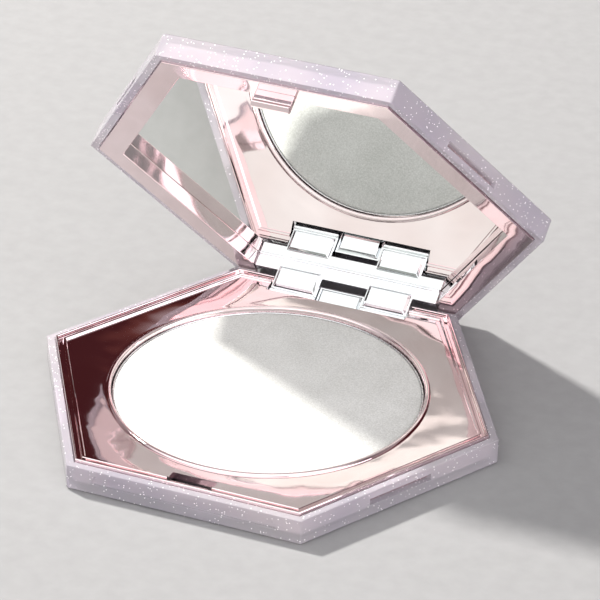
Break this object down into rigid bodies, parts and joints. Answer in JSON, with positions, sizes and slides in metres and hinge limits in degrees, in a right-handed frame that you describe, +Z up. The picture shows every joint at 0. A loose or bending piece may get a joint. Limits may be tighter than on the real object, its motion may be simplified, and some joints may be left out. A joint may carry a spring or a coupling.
{
  "type": "hinged powder compact",
  "caption": "Hexagonal make-up compact: clear outer shells over metallised trays, a round pan of pressed powder in the base and a mirror in the hinged lid, drawn open.",
  "frame": {"origin": "centre of the hexagonal underside, on the surface that the compact lies on", "axes": "+Z up, X along the hinge pin with two corners of the hexagon on it, +Y towards the hinge, -Y towards the latch"},
  "size_m": [0.0836, 0.0778, 0.0661],
  "materials": {
    "clear_acrylic": "clear injection-moulded acrylic, polished",
    "rose_gold_abs": "vacuum-metallised ABS, rose-gold mirror lacquer",
    "adhesive": "double-sided adhesive",
    "pan_aluminium": "drawn sheet, satin",
    "pressed_powder": "pressed pearl powder with fine glitter",
    "chromed_zinc": "bright chrome",
    "pin_steel": "drawn wire, bright",
    "silvered_glass": "back-silvered float glass"
  },
  "bodies": {
    "base": {"base_shell": "clear_acrylic", "base_tray": "rose_gold_abs", "pan_adhesive": "adhesive", "powder_pan": "pan_aluminium", "powder_cake": "pressed_powder", "base_hinge_block": "chromed_zinc", "hinge_pin": "pin_steel", "latch_catch": "rose_gold_abs"},
    "lid": {"lid_shell": "clear_acrylic", "lid_tray": "rose_gold_abs", "mirror_tape": "adhesive", "mirror_glass": "silvered_glass", "lid_hinge_block": "chromed_zinc", "latch_hook": "rose_gold_abs"}
  },
  "joints": [
    {"name": "lid_hinge", "type": "hinge", "parent": "base", "child": "lid", "pos_m": [0, 0.0339, 0.0027], "axis": [-1, 0, 0], "range_deg": [-58, 32]}
  ]
}
